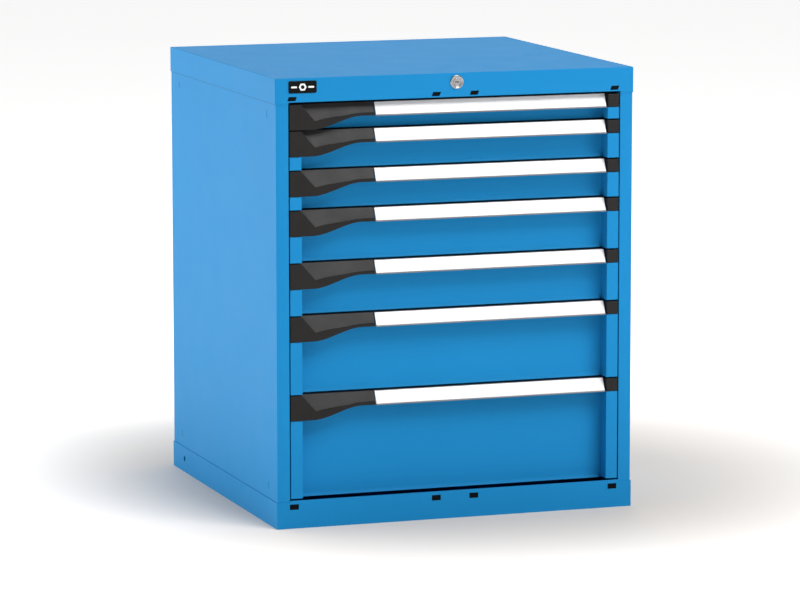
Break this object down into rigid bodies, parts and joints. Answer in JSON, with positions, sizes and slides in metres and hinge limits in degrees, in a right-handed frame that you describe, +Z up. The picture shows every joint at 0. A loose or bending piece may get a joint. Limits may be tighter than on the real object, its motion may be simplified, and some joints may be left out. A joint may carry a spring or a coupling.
{
  "type": "industrial drawer cabinet",
  "caption": "Static sheet-steel workshop drawer cabinet with full-extension drawers of graded heights, sloping label handles with black grips, and a front lock.",
  "frame": {"origin": "middle of the footprint, on the floor", "axes": "+X to the right of a person facing the fronts, fronts face -Y, +Z up"},
  "size_m": [0.717, 0.71, 0.853],
  "materials": {
    "housing_paint": "satin powder coat",
    "drawer_paint": "satin powder coat",
    "grip_black": "fine moulded texture",
    "handle_profile": "satin",
    "label_white": "satin",
    "rail_steel": "zinc plated",
    "lock_chrome": "polished",
    "plug_black": "matte",
    "badge_black": "gloss"
  },
  "bodies": {
    "housing": {"side_panel_left": "housing_paint", "side_panel_right": "housing_paint", "rear_panel": "housing_paint", "top_cover": "housing_paint", "cover_stiffeners": "rail_steel", "base_frame": "housing_paint", "foot_strips": "housing_paint", "rear_screws": "rail_steel", "slot_plugs": "plug_black", "name_plate": "badge_black", "rack_posts": "rail_steel", "cabinet_rails": "rail_steel", "lock_housing": "lock_chrome", "lock_nut": "rail_steel", "lock_guides": "rail_steel"},
    "lock_cylinder": {"lock_plug": "lock_chrome", "lock_rod": "rail_steel"},
    "lock_bar": {"lock_bar": "rail_steel"},
    "drawer_1": {"drawer_1_tray": "drawer_paint", "drawer_1_handle": "handle_profile", "drawer_1_grip": "grip_black", "drawer_1_runners": "rail_steel"},
    "carriage_1": {"drawer_1_carriage": "rail_steel"},
    "drawer_2": {"drawer_2_tray": "drawer_paint", "drawer_2_handle": "handle_profile", "drawer_2_grip": "grip_black", "drawer_2_runners": "rail_steel"},
    "carriage_2": {"drawer_2_carriage": "rail_steel"},
    "drawer_3": {"drawer_3_tray": "drawer_paint", "drawer_3_handle": "handle_profile", "drawer_3_grip": "grip_black", "drawer_3_runners": "rail_steel"},
    "carriage_3": {"drawer_3_carriage": "rail_steel"},
    "drawer_4": {"drawer_4_tray": "drawer_paint", "drawer_4_handle": "handle_profile", "drawer_4_grip": "grip_black", "drawer_4_runners": "rail_steel"},
    "carriage_4": {"drawer_4_carriage": "rail_steel"},
    "drawer_5": {"drawer_5_tray": "drawer_paint", "drawer_5_handle": "handle_profile", "drawer_5_grip": "grip_black", "drawer_5_runners": "rail_steel"},
    "carriage_5": {"drawer_5_carriage": "rail_steel"},
    "drawer_6": {"drawer_6_tray": "drawer_paint", "drawer_6_handle": "handle_profile", "drawer_6_grip": "grip_black", "drawer_6_runners": "rail_steel"},
    "carriage_6": {"drawer_6_carriage": "rail_steel"},
    "drawer_7": {"drawer_7_tray": "drawer_paint", "drawer_7_handle": "handle_profile", "drawer_7_grip": "grip_black", "drawer_7_runners": "rail_steel"},
    "carriage_7": {"drawer_7_carriage": "rail_steel"}
  },
  "joints": [
    {"name": "lock_turn", "type": "hinge", "parent": "housing", "child": "lock_cylinder", "pos_m": [0, -0.3525, 0.8357], "axis": [0, 1, 0], "range_deg": [0, 90]},
    {"name": "lock_bar_slide", "type": "slide", "parent": "housing", "child": "lock_bar", "axis": [0, 0, -1], "range_m": [0, 0.00707]},
    {"name": "drawer_1_slide", "type": "slide", "parent": "housing", "child": "drawer_1", "axis": [0, -1, 0], "range_m": [0, 0.6]},
    {"name": "carriage_1_slide", "type": "slide", "parent": "housing", "child": "carriage_1", "axis": [0, -1, 0], "range_m": [0, 0.3]},
    {"name": "drawer_2_slide", "type": "slide", "parent": "housing", "child": "drawer_2", "axis": [0, -1, 0], "range_m": [0, 0.6]},
    {"name": "carriage_2_slide", "type": "slide", "parent": "housing", "child": "carriage_2", "axis": [0, -1, 0], "range_m": [0, 0.3]},
    {"name": "drawer_3_slide", "type": "slide", "parent": "housing", "child": "drawer_3", "axis": [0, -1, 0], "range_m": [0, 0.6]},
    {"name": "carriage_3_slide", "type": "slide", "parent": "housing", "child": "carriage_3", "axis": [0, -1, 0], "range_m": [0, 0.3]},
    {"name": "drawer_4_slide", "type": "slide", "parent": "housing", "child": "drawer_4", "axis": [0, -1, 0], "range_m": [0, 0.6]},
    {"name": "carriage_4_slide", "type": "slide", "parent": "housing", "child": "carriage_4", "axis": [0, -1, 0], "range_m": [0, 0.3]},
    {"name": "drawer_5_slide", "type": "slide", "parent": "housing", "child": "drawer_5", "axis": [0, -1, 0], "range_m": [0, 0.6]},
    {"name": "carriage_5_slide", "type": "slide", "parent": "housing", "child": "carriage_5", "axis": [0, -1, 0], "range_m": [0, 0.3]},
    {"name": "drawer_6_slide", "type": "slide", "parent": "housing", "child": "drawer_6", "axis": [0, -1, 0], "range_m": [0, 0.6]},
    {"name": "carriage_6_slide", "type": "slide", "parent": "housing", "child": "carriage_6", "axis": [0, -1, 0], "range_m": [0, 0.3]},
    {"name": "drawer_7_slide", "type": "slide", "parent": "housing", "child": "drawer_7", "axis": [0, -1, 0], "range_m": [0, 0.6]},
    {"name": "carriage_7_slide", "type": "slide", "parent": "housing", "child": "carriage_7", "axis": [0, -1, 0], "range_m": [0, 0.3]}
  ],
  "couplings": [
    {"joint": "lock_turn", "follows": "lock_bar_slide", "rad_per_m": 222.14},
    {"joint": "carriage_1_slide", "follows": "drawer_1_slide", "ratio": 0.5},
    {"joint": "carriage_2_slide", "follows": "drawer_2_slide", "ratio": 0.5},
    {"joint": "carriage_3_slide", "follows": "drawer_3_slide", "ratio": 0.5},
    {"joint": "carriage_4_slide", "follows": "drawer_4_slide", "ratio": 0.5},
    {"joint": "carriage_5_slide", "follows": "drawer_5_slide", "ratio": 0.5},
    {"joint": "carriage_6_slide", "follows": "drawer_6_slide", "ratio": 0.5},
    {"joint": "carriage_7_slide", "follows": "drawer_7_slide", "ratio": 0.5}
  ]
}
